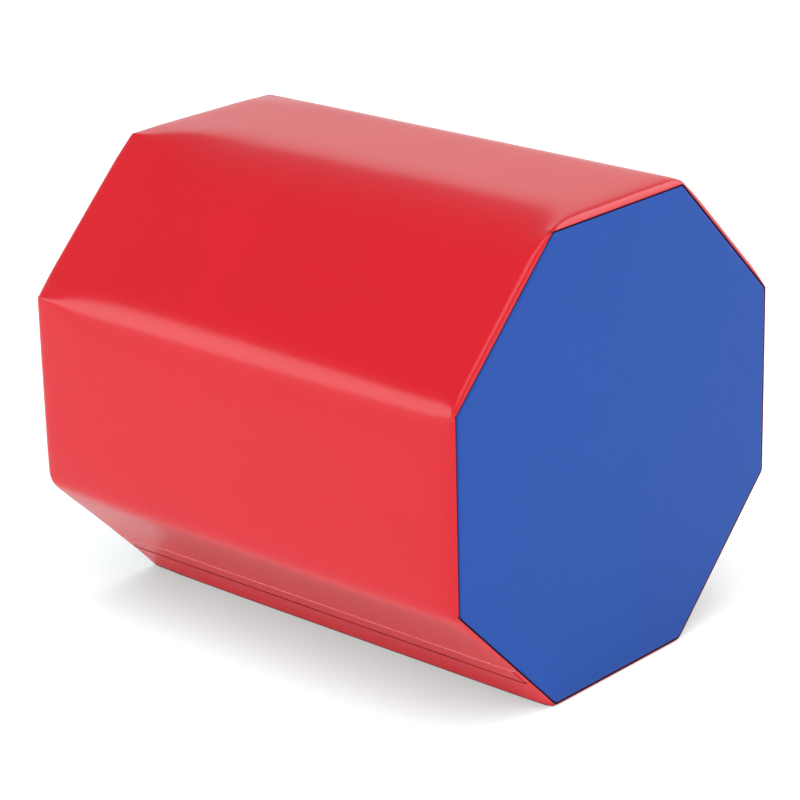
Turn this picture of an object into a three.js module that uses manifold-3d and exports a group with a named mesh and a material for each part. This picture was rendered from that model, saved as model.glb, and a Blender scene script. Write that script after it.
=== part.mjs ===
// Octagonal tumbling mat: a bonded foam core in a zipped vinyl cover, with contrasting end panels.
// Millimetres, +Z up, Y along the mat. The origin is on the floor under the middle of the mat.
import * as THREE from "three";
import { mergeVertices } from "three/addons/utils/BufferGeometryUtils.js";
import Module from "manifold-3d";

const wasm = await Module();
wasm.setup();

// Driving dimensions of the mat.
const ACROSS_FLATS = 650;
const LENGTH = 750;
const SIDES = 8;
const EDGE_RADIUS = 20; // outer radius of the long edges of the cover
const SHEET = 0.9; // vinyl thickness
const GAP = 0.3; // free space between pieces that touch
const PLANKS = 6; // foam planks bonded one on another
const CORNER_STEPS = 5;

// End seams: the wrap and the end panels turn inwards by the seam allowance.
const SEAM_ALLOWANCE = 14;
const SEAM_ROUND = 1.5; // rounding of both folds beside the seam groove
const END_ZONE = 18; // closed length of the wrap between the end seam and the zip opening

// Zip, on the lower left face. Across that face, u runs up from its lower edge and h is the height
// above the face, so everything below the cover's surface has a negative h.
const FLAP_HINGE_U = 106;
const FLAP_EDGE_U = 73;
const FLAP_THICKNESS = 1.9; // a folded double layer
const TOPSTITCH_U = 108.5;
const HEM_WIDTH = 8;
const LOWER_SURFACE_H = -2.8; // the lower hem lies this far down, under the flap
const LOWER_FOLD_U = 91.5;
const LOWER_STITCH_U = 86;
const CHAIN_U = 97;
const CHAIN_H = -7.2;
const TAPE = 0.6;
const THREAD = 0.5;
const THREAD_CLEARANCE = 0.1;

// Coil, stops and slider of a number 5 zip.
const COIL_WIDTH = 2.6; // one half of the chain
const COIL_HEIGHT = 2.2;
const COIL_SPLIT = 0.6; // from the chain's middle to each half, so the slider's divider passes
const CHAIN_FRONT_Y = -333;
const CHAIN_REAR_Y = 343.5;
const STOP_LENGTH = 3;
const BOTTOM_STOP_LENGTH = 5;
const SLIDER_LENGTH = 12;
const SLIDER_WIDTH = 9.2;
const SLIDER_PLATE = 0.9;
const SLIDER_FLANGE = 1;
const SLIDER_CHANNEL = 2.9; // height between its two plates
const TAPE_SLOT = 1.4;
const DIVIDER = 0.6;
const SLIDER_REST_Y = 337;
const CROWN_WIDTH = 2.2;
const CROWN_BAR = 0.7;
const CROWN_HALF_LENGTH = 3.2;
const CROWN_ROOM = 1.8; // free height under the crown
const PULL_LENGTH = 24;
const PULL_WIDTH = 6;
const PULL_THICKNESS = 1.2;
const PULL_PIVOT_Y = -1.8; // from the slider's middle
const PULL_WINDOW_LENGTH = 2.8;
const PULL_WINDOW_WIDTH = 3.2;
const PULL_HOLE_RADIUS = 1.3;

const APOTHEM = ACROSS_FLATS / 2;
const CORNER_ANGLE = (2 * Math.PI) / SIDES;
const ZIP_CORNER = 5; // the corner at the bottom of the zip's face, counted from the right
const OPENING_END = LENGTH / 2 - END_ZONE;

const materials = {
  redVinyl: new THREE.MeshStandardMaterial({ color: 0xdc2433, roughness: 0.42, metalness: 0 }),
  blueVinyl: new THREE.MeshStandardMaterial({ color: 0x2c52ae, roughness: 0.5, metalness: 0 }),
  foam: new THREE.MeshStandardMaterial({ color: 0xf2f2ee, roughness: 0.85, metalness: 0 }),
  zipTape: new THREE.MeshStandardMaterial({ color: 0x8e141d, roughness: 0.9, metalness: 0 }),
  zipCoil: new THREE.MeshStandardMaterial({ color: 0xa51a24, roughness: 0.45, metalness: 0 }),
  nickel: new THREE.MeshStandardMaterial({ color: 0xc9c9c6, roughness: 0.3, metalness: 1 }),
  redThread: new THREE.MeshStandardMaterial({ color: 0xf08a88, roughness: 0.6, metalness: 0 }),
  seamThread: new THREE.MeshStandardMaterial({ color: 0x5a1020, roughness: 0.7, metalness: 0 }),
};

const point = (x, y) => new THREE.Vector2(x, y);

// Turns a closed geometry into a manifold-3d solid, and back.
function toSolid(geometry) {
  const bare = geometry.clone();
  bare.deleteAttribute("normal");
  bare.deleteAttribute("uv");
  const merged = mergeVertices(bare, 1e-4);
  const vertProperties = new Float32Array(merged.attributes.position.array);
  const triVerts = new Uint32Array(merged.index.array);
  return new wasm.Manifold(new wasm.Mesh({ numProp: 3, vertProperties, triVerts }));
}

function toGeometry(solid) {
  const mesh = solid.getMesh();
  const geometry = new THREE.BufferGeometry();
  geometry.setAttribute("position", new THREE.BufferAttribute(new Float32Array(mesh.vertProperties), 3));
  geometry.setIndex(new THREE.BufferAttribute(new Uint32Array(mesh.triVerts), 1));
  geometry.computeVertexNormals();
  return geometry;
}

function join(...geometries) {
  const solids = geometries.map(toSolid);
  return toGeometry(solids.slice(1).reduce((whole, next) => whole.add(next), solids[0]));
}

// A section drawn across the mat, in (x, z) or in a face's (u, h), made into a bar along Y.
function bar(section, yFrom, yTo) {
  const shape = new THREE.Shape(section);
  const geometry = new THREE.ExtrudeGeometry(shape, { depth: yTo - yFrom, bevelEnabled: false });
  return geometry.rotateX(Math.PI / 2).translate(0, yTo, 0);
}

// A plan drawn in (x, y), made into a plate from one height to another.
function plate(plan, zFrom, zTo) {
  const geometry = new THREE.ExtrudeGeometry(plan, { depth: zTo - zFrom, bevelEnabled: false });
  return geometry.translate(0, 0, zFrom);
}

function box(xFrom, xTo, yFrom, yTo, zFrom, zTo) {
  const geometry = new THREE.BoxGeometry(xTo - xFrom, yTo - yFrom, zTo - zFrom);
  return geometry.translate((xFrom + xTo) / 2, (yFrom + yTo) / 2, (zFrom + zTo) / 2);
}

function rectangle(xFrom, xTo, yFrom, yTo) {
  return [point(xFrom, yFrom), point(xTo, yFrom), point(xTo, yTo), point(xFrom, yTo)];
}

// The outline of a sheet of even thickness whose middle follows a line of points.
function sheetOutline(line, thickness) {
  const normals = line.slice(1).map((end, i) => {
    const along = end.clone().sub(line[i]).normalize();
    return point(-along.y, along.x);
  });
  const side = (distance) =>
    line.map((middle, i) => {
      const before = normals[Math.max(i - 1, 0)];
      const after = normals[Math.min(i, normals.length - 1)];
      const mitre = before.clone().add(after).normalize();
      return middle.clone().addScaledVector(mitre, distance / mitre.dot(before));
    });
  return [...side(thickness / 2), ...side(-thickness / 2).reverse()];
}

// The rounded corner number k of the octagon, at height h above the faces.
function cornerArc(k, h) {
  const centreDistance = (APOTHEM - EDGE_RADIUS) / Math.cos(CORNER_ANGLE / 2);
  const middle = (k + 0.5) * CORNER_ANGLE;
  const points = [];
  for (let step = 0; step <= CORNER_STEPS; step++) {
    const turn = (k + step / CORNER_STEPS) * CORNER_ANGLE;
    const x = centreDistance * Math.cos(middle) + (EDGE_RADIUS + h) * Math.cos(turn);
    const z = APOTHEM + centreDistance * Math.sin(middle) + (EDGE_RADIUS + h) * Math.sin(turn);
    points.push(point(x, z));
  }
  return points;
}

function octagon(h) {
  const corners = Array.from({ length: SIDES }, (_, k) => cornerArc(k, h));
  return corners.flat();
}

// The surface round the mat's end. Its profile holds [h, distance in from the end] pairs. It is a
// closed ring, or a dish when the first and last rows are filled in.
function endSurface(profile, end, filled) {
  const ordered = end < 0 ? profile : [...profile].reverse();
  const rows = ordered.map(([h, inwards]) => {
    const y = end * (LENGTH / 2 - inwards);
    return octagon(h).map((p) => new THREE.Vector3(p.x, y, p.y));
  });
  const count = rows[0].length;
  const points = rows.flat();
  const indices = [];
  const bands = filled ? rows.length - 1 : rows.length;
  for (let j = 0; j < bands; j++) {
    for (let i = 0; i < count; i++) {
      const a = j * count + i;
      const b = j * count + ((i + 1) % count);
      const c = ((j + 1) % rows.length) * count + ((i + 1) % count);
      const d = ((j + 1) % rows.length) * count + i;
      indices.push(a, b, c, a, c, d);
    }
  }
  if (filled) {
    const last = (rows.length - 1) * count;
    const centres = [points[0], points[last]].map((p) => new THREE.Vector3(0, p.y, APOTHEM));
    points.push(...centres);
    for (let i = 0; i < count; i++) {
      const next = (i + 1) % count;
      indices.push(rows.length * count, next, i);
      indices.push(rows.length * count + 1, last + i, last + next);
    }
  }
  const geometry = new THREE.BufferGeometry().setFromPoints(points);
  geometry.setIndex(indices);
  geometry.computeVertexNormals();
  return geometry;
}

// The zip face's own frame: x is u, y runs along the mat and z is h.
const zipCornerAngle = (ZIP_CORNER + 0.5) * CORNER_ANGLE;
const cornerDistance = APOTHEM / Math.cos(CORNER_ANGLE / 2);
const zipFaceOrigin = new THREE.Vector3(
  cornerDistance * Math.cos(zipCornerAngle),
  0,
  APOTHEM + cornerDistance * Math.sin(zipCornerAngle),
);
const zipFaceTurn = -0.75 * Math.PI;

function onZipFace(u, h) {
  const local = new THREE.Vector3(u, 0, h).applyAxisAngle(new THREE.Vector3(0, 1, 0), zipFaceTurn);
  return point(local.x + zipFaceOrigin.x, local.z + zipFaceOrigin.z);
}

// The seam allowances lie one inside the other, below the cover's surface.
const wrapInside = -SHEET;
const foldOutside = wrapInside - GAP;
const foldInside = foldOutside - SHEET;
const panelOutside = foldInside - GAP;
const panelInside = panelOutside - SHEET;

// The red wrap: one sheet from the hem above the zip, round all eight faces, to the hem below it.
function wrap() {
  const middle = -SHEET / 2;
  const hemMiddle = middle - SHEET - GAP;
  const upperFold = FLAP_HINGE_U + GAP + SHEET / 2;
  const lowerMiddle = LOWER_SURFACE_H - SHEET / 2;
  const lowerFold = LOWER_FOLD_U - SHEET / 2;
  const lowerHemMiddle = lowerMiddle - SHEET - GAP;
  const round = [4, 3, 2, 1, 0, 7, 6, 5].map((k) => cornerArc(k, middle).reverse()).flat();
  const line = [
    onZipFace(upperFold + HEM_WIDTH, hemMiddle),
    onZipFace(upperFold, hemMiddle),
    onZipFace(upperFold, middle),
    ...round,
    onZipFace(FLAP_EDGE_U - 7, middle),
    onZipFace(FLAP_EDGE_U - 2, lowerMiddle),
    onZipFace(lowerFold, lowerMiddle),
    onZipFace(lowerFold, lowerHemMiddle),
    onZipFace(lowerFold - HEM_WIDTH, lowerHemMiddle),
  ];
  const body = bar(sheetOutline(line, SHEET), -OPENING_END, OPENING_END);
  const ends = [-1, 1].map((end) => endSurface(hairpin(), end, false));
  return join(body, ...ends);
}

// The wrap's end, folded back inside by the seam allowance. It overlaps the zipped part slightly.
function hairpin() {
  const overlap = 1;
  const slitEnd = SEAM_ROUND + GAP;
  return [
    [0, END_ZONE + overlap],
    [0, SEAM_ROUND],
    [-0.5, 0.4],
    [-1.2, 0],
    [-1.7, 0.5],
    [foldInside, SEAM_ROUND],
    [foldInside, SEAM_ALLOWANCE],
    [foldOutside, SEAM_ALLOWANCE],
    [foldOutside, slitEnd],
    [wrapInside, slitEnd],
    [wrapInside, END_ZONE + overlap],
  ];
}

// A blue end panel: a flat octagon whose edge turns inwards by the seam allowance.
function endPanel(end) {
  const flatEdge = panelOutside - SEAM_ROUND;
  const profile = [
    [flatEdge - SHEET / 2, SHEET],
    [panelInside, SEAM_ROUND + SHEET / 2],
    [panelInside, SEAM_ALLOWANCE],
    [panelOutside, SEAM_ALLOWANCE],
    [panelOutside, SEAM_ROUND],
    [flatEdge, 0],
  ];
  return endSurface(profile, end, true);
}

// The thread of an end seam lies at the bottom of the groove between the two folds.
function seamThread(end) {
  const middle = foldInside - GAP;
  const top = GAP;
  const profile = [
    [middle + THREAD / 2, top + THREAD],
    [middle + THREAD / 2, top],
    [middle - THREAD / 2, top],
    [middle - THREAD / 2, top + THREAD],
  ];
  return endSurface(profile, end, false);
}

// The foam core fills the cover, stepped in at both ends for the seam allowances and hollowed
// under the zip.
function core() {
  const surface = wrapInside - GAP;
  const shoulder = LENGTH / 2 - SEAM_ALLOWANCE - 1;
  const endFace = LENGTH / 2 - SHEET - GAP;
  const middle = bar(octagon(surface), -shoulder, shoulder);
  const through = bar(octagon(panelInside - SEAM_ROUND + GAP / 2), -endFace, endFace);
  const channel = [
    onZipFace(FLAP_EDGE_U - 9, 1),
    onZipFace(FLAP_EDGE_U - 9, -1.5),
    onZipFace(FLAP_EDGE_U - 3, -6.2),
    onZipFace(LOWER_STITCH_U, -6.2),
    onZipFace(LOWER_STITCH_U + 2, -10.2),
    onZipFace(CHAIN_U + 6, -10.2),
    onZipFace(FLAP_HINGE_U + 2, -3.4),
    onZipFace(FLAP_HINGE_U + 10, -3.4),
    onZipFace(FLAP_HINGE_U + 10, 1),
  ];
  const whole = toSolid(middle).add(toSolid(through));
  return whole.subtract(toSolid(bar(channel, -OPENING_END - 1.5, OPENING_END + 1.5)));
}

// One of the horizontal planks that the core is bonded from, counted up from the floor.
function foamPlank(whole, number) {
  const bottom = SHEET + GAP;
  const pitch = (ACROSS_FLATS - 2 * bottom) / PLANKS;
  const low = bottom + pitch * (number - 1);
  const lowGlue = number > 1 ? GAP / 2 : -1;
  const highGlue = number < PLANKS ? GAP / 2 : -1;
  const slice = box(-APOTHEM, APOTHEM, -LENGTH, LENGTH, low + lowGlue, low + pitch - highGlue);
  return toGeometry(whole.intersect(toSolid(slice)));
}

// The flap over the zip: a double layer folded along its free edge.
function flap() {
  const half = FLAP_THICKNESS / 2;
  const section = new THREE.Shape();
  section.moveTo(FLAP_HINGE_U, 0);
  section.lineTo(FLAP_EDGE_U + half, 0);
  section.absarc(FLAP_EDGE_U + half, -half, half, Math.PI / 2, (3 * Math.PI) / 2);
  section.lineTo(FLAP_HINGE_U, -FLAP_THICKNESS);
  return bar(section.getPoints(3), -OPENING_END + 1.5, OPENING_END - 1.5);
}

// Each zip tape runs from under its row of stitches down to the coil.
function zipTape(stitchU, outerH, side) {
  const outer = stitchU + side * 5;
  const coilEdge = CHAIN_U + side * (COIL_SPLIT + COIL_WIDTH + GAP);
  const line = [
    point(outer, outerH),
    point(stitchU - side * 1.5, outerH),
    point(CHAIN_U + side * 6.2, CHAIN_H),
    point(coilEdge, CHAIN_H),
  ];
  return bar(sheetOutline(line, TAPE), -OPENING_END + 2, OPENING_END - 2);
}

function zipCoil(side) {
  const inner = side * COIL_SPLIT;
  const outer = side * (COIL_SPLIT + COIL_WIDTH);
  const half = COIL_HEIGHT / 2;
  const uFrom = CHAIN_U + Math.min(inner, outer);
  const uTo = CHAIN_U + Math.max(inner, outer);
  return box(uFrom, uTo, CHAIN_FRONT_Y + GAP, CHAIN_REAR_Y, CHAIN_H - half, CHAIN_H + half);
}

// A metal stop is crimped over the edge of the tape, which its slot holds.
const stopHalfHeight = 1.3;
const stopSlotHalf = TAPE / 2 + GAP;
const stopGrip = 1.8;

function stopSide(side) {
  const tapeEdge = side * (COIL_SPLIT + COIL_WIDTH);
  const outer = tapeEdge + side * stopGrip;
  return [
    point(outer, -stopHalfHeight),
    point(outer, -stopSlotHalf),
    point(tapeEdge, -stopSlotHalf),
    point(tapeEdge, stopSlotHalf),
    point(outer, stopSlotHalf),
    point(outer, stopHalfHeight),
  ];
}

function topStop(side) {
  const inner = side * COIL_SPLIT;
  const section = [point(inner, -stopHalfHeight), ...stopSide(side), point(inner, stopHalfHeight)];
  return bar(section, 0, STOP_LENGTH);
}

function bottomStop() {
  const section = [...stopSide(1), ...stopSide(-1).reverse()];
  return bar(section, -BOTTOM_STOP_LENGTH, 0);
}

function stitchRow(u, surfaceH, halfLength) {
  const low = surfaceH + THREAD_CLEARANCE;
  return box(u - THREAD / 2, u + THREAD / 2, -halfLength, halfLength, low, low + THREAD);
}

// The slider: two plates with turned flanges, joined by the divider, and a crown for the pull.
function slider() {
  const halfWidth = SLIDER_WIDTH / 2;
  const halfLength = SLIDER_LENGTH / 2;
  const nip = 1.6;
  const plan = new THREE.Shape([
    point(-halfWidth, halfLength - nip),
    point(-halfWidth, -halfLength + nip),
    point(-halfWidth + nip, -halfLength),
    point(halfWidth - nip, -halfLength),
    point(halfWidth, -halfLength + nip),
    point(halfWidth, halfLength - nip),
    point(halfWidth - nip, halfLength),
    point(-halfWidth + nip, halfLength),
  ]);
  const inside = SLIDER_CHANNEL / 2;
  const outside = inside + SLIDER_PLATE;
  const plates = [plate(plan, inside, outside), plate(plan, -outside, -inside)];
  const flanges = [];
  for (const side of [-1, 1]) {
    for (const face of [-1, 1]) {
      const u = [side * (halfWidth - SLIDER_FLANGE), side * halfWidth];
      const h = [(face * TAPE_SLOT) / 2, face * inside * 1.1];
      const y = halfLength - nip;
      flanges.push(box(Math.min(...u), Math.max(...u), -y, y, Math.min(...h), Math.max(...h)));
    }
  }
  const divider = box(-DIVIDER / 2, DIVIDER / 2, 1.5, halfLength, -inside * 1.1, inside * 1.1);
  return join(...plates, ...flanges, divider, crown(outside));
}

// The crown is an arch along the slider. Its profile, in (y, z), is made into a band across x.
function crown(foot) {
  const high = foot + CROWN_ROOM + CROWN_BAR / 2;
  const line = [
    point(-CROWN_HALF_LENGTH, foot - SLIDER_PLATE / 2),
    point(-CROWN_HALF_LENGTH, high),
    point(CROWN_HALF_LENGTH, high),
    point(CROWN_HALF_LENGTH, foot - SLIDER_PLATE / 2),
  ];
  const shape = new THREE.Shape(sheetOutline(line, CROWN_BAR));
  const geometry = new THREE.ExtrudeGeometry(shape, { depth: CROWN_WIDTH, bevelEnabled: false });
  const [x, y, z] = [0, 1, 2].map((axis) => new THREE.Vector3().setComponent(axis, 1));
  geometry.applyMatrix4(new THREE.Matrix4().makeBasis(y, z, x));
  return geometry.translate(-CROWN_WIDTH / 2, 0, 0);
}

// The pull tab: its end bar turns under the crown, which stands in the tab's window.
function pullTab() {
  const half = PULL_WIDTH / 2;
  const barHalf = PULL_THICKNESS / 2;
  const tipCentre = -PULL_LENGTH + half;
  const plan = new THREE.Shape();
  plan.moveTo(half, barHalf);
  plan.lineTo(-half, barHalf);
  plan.lineTo(-half, tipCentre);
  plan.absarc(0, tipCentre, half, Math.PI, 2 * Math.PI);
  plan.lineTo(half, barHalf);
  const windowHalf = PULL_WINDOW_WIDTH / 2;
  const window = rectangle(-windowHalf, windowHalf, -barHalf - PULL_WINDOW_LENGTH, -barHalf);
  plan.holes.push(new THREE.Path(window));
  const grip = new THREE.Path().absarc(0, tipCentre, PULL_HOLE_RADIUS, 0, 2 * Math.PI);
  plan.holes.push(grip);
  return plate(plan, -barHalf, barHalf);
}

function piece(name, geometry, material, place = [0, 0, 0]) {
  const mesh = new THREE.Mesh(geometry, material);
  mesh.name = name;
  mesh.position.set(...place);
  return mesh;
}

const mat = new THREE.Group();
mat.add(piece("wrap_panel", wrap(), materials.redVinyl));
for (const [name, end] of [["front", -1], ["rear", 1]]) {
  mat.add(piece(`${name}_end_panel`, endPanel(end), materials.blueVinyl));
  mat.add(piece(`${name}_seam_thread`, seamThread(end), materials.seamThread));
}
const wholeCore = core();
for (let number = 1; number <= PLANKS; number++) {
  mat.add(piece(`foam_plank_${number}`, foamPlank(wholeCore, number), materials.foam));
}

const zip = new THREE.Group();
zip.position.copy(zipFaceOrigin);
zip.rotation.y = zipFaceTurn;
mat.add(zip);

const upperTapeH = -SHEET * 2 - GAP * 2 - TAPE / 2;
const lowerTapeH = LOWER_SURFACE_H + upperTapeH;
const seamToSeam = LENGTH / 2 - SEAM_ROUND - 1;
zip.add(piece("zip_flap", flap(), materials.redVinyl));
zip.add(piece("zip_tape_upper", zipTape(TOPSTITCH_U, upperTapeH, 1), materials.zipTape));
zip.add(piece("zip_tape_lower", zipTape(LOWER_STITCH_U, lowerTapeH, -1), materials.zipTape));
zip.add(piece("zip_coil_upper", zipCoil(1), materials.zipCoil));
zip.add(piece("zip_coil_lower", zipCoil(-1), materials.zipCoil));
const rearStopPlace = [CHAIN_U, CHAIN_REAR_Y + GAP, CHAIN_H];
zip.add(piece("zip_top_stop_upper", topStop(1), materials.nickel, rearStopPlace));
zip.add(piece("zip_top_stop_lower", topStop(-1), materials.nickel, rearStopPlace));
zip.add(piece("zip_bottom_stop", bottomStop(), materials.nickel, [CHAIN_U, CHAIN_FRONT_Y, CHAIN_H]));
zip.add(piece("flap_topstitch", stitchRow(TOPSTITCH_U, 0, seamToSeam), materials.redThread));
const hemRow = stitchRow(LOWER_STITCH_U, LOWER_SURFACE_H, OPENING_END - 2);
zip.add(piece("hem_stitch", hemRow, materials.redThread));

const sliderGroup = new THREE.Group();
sliderGroup.position.set(CHAIN_U, SLIDER_REST_Y, CHAIN_H);
sliderGroup.add(piece("zip_slider", slider(), materials.nickel));
const pullHeight = SLIDER_CHANNEL / 2 + SLIDER_PLATE + CROWN_ROOM / 2;
sliderGroup.add(piece("zip_pull", pullTab(), materials.nickel, [0, PULL_PIVOT_Y, pullHeight]));
zip.add(sliderGroup);

export default mat;
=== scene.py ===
"""The looks of an octagonal tumbling mat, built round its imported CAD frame. Metres, +Z up, Y along the mat.

Places round the mat are given by a face and a corner number, counted anticlockwise from +X as seen from the
front. A depth is the distance in from an end seam, and a height is the distance out from a face's plane.
On the zip's face, u runs up from the face's lower edge.
"""
import math

import bmesh
import bpy
import numpy as np
from mathutils import Matrix, Vector


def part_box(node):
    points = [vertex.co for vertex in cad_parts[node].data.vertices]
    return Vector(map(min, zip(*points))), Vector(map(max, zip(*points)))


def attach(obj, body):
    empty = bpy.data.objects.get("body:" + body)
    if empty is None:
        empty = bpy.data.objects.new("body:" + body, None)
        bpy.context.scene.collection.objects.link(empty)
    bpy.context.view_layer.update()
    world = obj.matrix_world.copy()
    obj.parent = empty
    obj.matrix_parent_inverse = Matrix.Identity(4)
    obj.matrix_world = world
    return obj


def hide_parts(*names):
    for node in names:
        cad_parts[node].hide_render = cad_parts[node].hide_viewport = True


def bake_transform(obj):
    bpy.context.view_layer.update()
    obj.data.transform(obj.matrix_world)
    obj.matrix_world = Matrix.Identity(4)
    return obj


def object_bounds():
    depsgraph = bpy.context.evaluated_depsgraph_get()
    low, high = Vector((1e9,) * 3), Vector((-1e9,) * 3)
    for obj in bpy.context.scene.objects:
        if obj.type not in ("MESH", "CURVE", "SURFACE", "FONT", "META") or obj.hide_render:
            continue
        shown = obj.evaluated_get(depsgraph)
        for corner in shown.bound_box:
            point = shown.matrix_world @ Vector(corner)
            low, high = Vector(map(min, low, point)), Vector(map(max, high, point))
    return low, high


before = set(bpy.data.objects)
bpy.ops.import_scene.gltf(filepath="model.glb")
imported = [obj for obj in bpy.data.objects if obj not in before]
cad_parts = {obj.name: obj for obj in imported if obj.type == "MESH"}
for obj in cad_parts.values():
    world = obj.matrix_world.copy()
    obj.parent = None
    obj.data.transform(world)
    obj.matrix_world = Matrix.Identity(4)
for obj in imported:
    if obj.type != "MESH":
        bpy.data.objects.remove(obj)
cad_low, cad_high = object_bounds()

MM = 0.001
APOTHEM = (cad_high.x - cad_low.x) / 2
HALF_LENGTH = (cad_high.y - cad_low.y) / 2
FACES = 8
TURN = 2 * math.pi / FACES
TAN_HALF = math.tan(TURN / 2)
HALF_SIDE = APOTHEM * TAN_HALF
CENTRE = np.array([0, 0, APOTHEM])

# The cover. Softness is the spread of a long edge's turn along the cloth, as a standard deviation.
SHEET = 0.9 * MM
MIDDLE_SOFTNESS = [softness * MM for softness in (20, 15, 46, 29, 12, 20, 20, 20)]  # of corners 0 to 7
FRONT_SOFTNESS = {4: 3.2 * MM, 5: 1.9 * MM, 6: 3.2 * MM}
REAR_SOFTNESS = {4: 9 * MM}
CRISP_SOFTNESS = 1.25 * MM
ZIP_SOFTNESS = 2.6 * MM
FRONT_CRISP_DEPTH = 15 * MM
REAR_CRISP_DEPTH = 85 * MM
SEAM_HEIGHT = -2.3 * MM
FOLD_HEIGHT = SEAM_HEIGHT - 0.85 * MM  # of the seam allowances, which are turned in
LIP_RISE = 5.2 * MM  # the cover rolls up from its end seams, then slopes up more gently
LIP_DEPTH = 4.2 * MM
LIP_TIGHTENING = 0.5  # how much steeper the lip is at the corners, and all along TIGHT_FACES
TIGHT_FACES = (1, 3)
SWELL_RISE = 3.4 * MM
SWELL_DEPTH = 14 * MM
FRONT_GROWTH = 1.0 * MM  # how far the stuffed ends stand out past the frame's
REAR_GROWTH = 3.5 * MM
CORNER_DRAW = 0.6  # how much less the cover swells beside a corner, near the ends
CORNER_REACH = 30 * MM
GROOVE = 2.6 * MM
ALLOWANCE = 12 * MM
CROWN = 1.5 * MM
PANEL_CROWN = 0.9 * MM
FOAM_SCALE = (0.982, 0.984, 0.982)
ZIP_FACE = 5
SEAM_PITCH = 4.0 * MM

# The zip and its flap.
TOPSTITCH_U = 108.5 * MM
TOPSTITCH_PITCH = 3.75 * MM
FLAP_EDGE_U = 73 * MM
LOWER_EDGE_U = 64.5 * MM
BINDING_HEIGHT = -2.7 * MM
BINDING_FOLD_U = 91.5 * MM
HEM_STITCH_U = 86 * MM
FLAP_END_DEPTH = 9 * MM
CHAIN_U = 97 * MM
CHAIN_HEIGHT = -7.2 * MM
TAPE_HALF_LENGTH = 0.355
UPPER_TAPE_PATH = ((113.5, -2.6), (107, -2.6), (103.2, -7.0), (100.3, -7.0))  # (u, height) in millimetres
LOWER_TAPE_PATH = ((93.7, -7.0), (90.8, -7.0), (87.5, -5.25), (81, -5.25))


def in_scene(name, data):
    """A new object of the scene, made of that data."""
    obj = bpy.data.objects.new(name, data)
    bpy.context.scene.collection.objects.link(obj)
    return obj


# ---------------------------------------------------------------- camera

def make_camera():
    azimuth, elevation, roll = (math.radians(x) for x in (-47.739, 20.111, -1.392))
    distance, to_left, down = 4.159, 0.00455, 0.02093
    back = Vector((math.sin(azimuth) * math.cos(elevation), -math.cos(azimuth) * math.cos(elevation),
                   math.sin(elevation)))
    level_right = Vector((0, 0, 1)).cross(back).normalized()
    level_up = back.cross(level_right)
    right = math.cos(roll) * level_right + math.sin(roll) * level_up
    up = math.cos(roll) * level_up - math.sin(roll) * level_right
    place = Vector((0, 0, APOTHEM)) + back * distance - right * to_left - up * down
    data = bpy.data.cameras.new("camera")
    data.lens = 135.8
    data.sensor_width = 36
    data.clip_end = 100
    camera = in_scene("camera", data)
    rows = [[right[i], up[i], back[i], place[i]] for i in range(3)]
    camera.matrix_world = Matrix(rows + [[0, 0, 0, 1]])
    bpy.context.scene.camera = camera


make_camera()


# ---------------------------------------------------------------- mesh helpers

def smooth_step(x):
    t = np.clip(x, 0, 1)
    return t * t * (3 - 2 * t)


def bell(x):
    return np.exp(-(x**2))


def grown(points):
    """Moves what lies near the ends outwards, since the stuffed ends stand out past the frame's."""
    points = np.array(points, float).reshape(-1, 3)
    near = smooth_step((np.abs(points[:, 1]) - HALF_LENGTH + 25 * MM) / (20 * MM))
    points[:, 1] += near * np.where(points[:, 1] > 0, REAR_GROWTH, -FRONT_GROWTH)
    return points


def new_object(name, points, faces):
    mesh = bpy.data.meshes.new(name)
    mesh.from_pydata(grown(points).tolist(), [], faces)
    mesh.update()
    mesh.polygons.foreach_set("use_smooth", [True] * len(mesh.polygons))
    return in_scene(name, mesh)


def coordinates(mesh):
    co = np.empty(len(mesh.vertices) * 3)
    mesh.vertices.foreach_get("co", co)
    return co.reshape(-1, 3)


def unit(vectors):
    return vectors / np.linalg.norm(vectors, axis=1, keepdims=True)


def lengths_along(path):
    """The length of a path of points up to each of them."""
    return np.concatenate([[0], np.cumsum(np.linalg.norm(np.diff(path, axis=0), axis=1))])


def add_bevel(obj, width, segments):
    bevel = obj.modifiers.new("bevel", "BEVEL")
    bevel.width = width
    bevel.segments = segments
    bevel.limit_method = "ANGLE"
    bevel.angle_limit = math.radians(35)


def add_attribute(obj, name, values):
    attribute = obj.data.attributes.new(name, "FLOAT", "POINT")
    attribute.data.foreach_set("value", np.asarray(values, np.float32).ravel())


def grid_normals(points, closed):
    """Unit normals of a grid of points, rows by columns by 3."""
    if closed:
        wrapped = np.concatenate([points[:, -1:], points, points[:, :1]], axis=1)
        across = wrapped[:, 2:] - wrapped[:, :-2]
    else:
        across = np.gradient(points, axis=1)
    along = np.gradient(points, axis=0)
    normal = np.cross(across, along)
    return normal / np.maximum(np.linalg.norm(normal, axis=2, keepdims=True), 1e-12)


def grid_faces(rows, columns, closed, first=0, flip=False):
    """The quads of a grid whose points are numbered row by row from first."""
    last = columns if closed else columns - 1
    j, i = np.meshgrid(np.arange(rows - 1), np.arange(last), indexing="ij")
    k = (i + 1) % columns
    here, there = j * columns, (j + 1) * columns
    quads = np.stack([here + i, here + k, there + k, there + i], axis=-1).reshape(-1, 4) + first
    return quads[:, ::-1] if flip else quads


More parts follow.
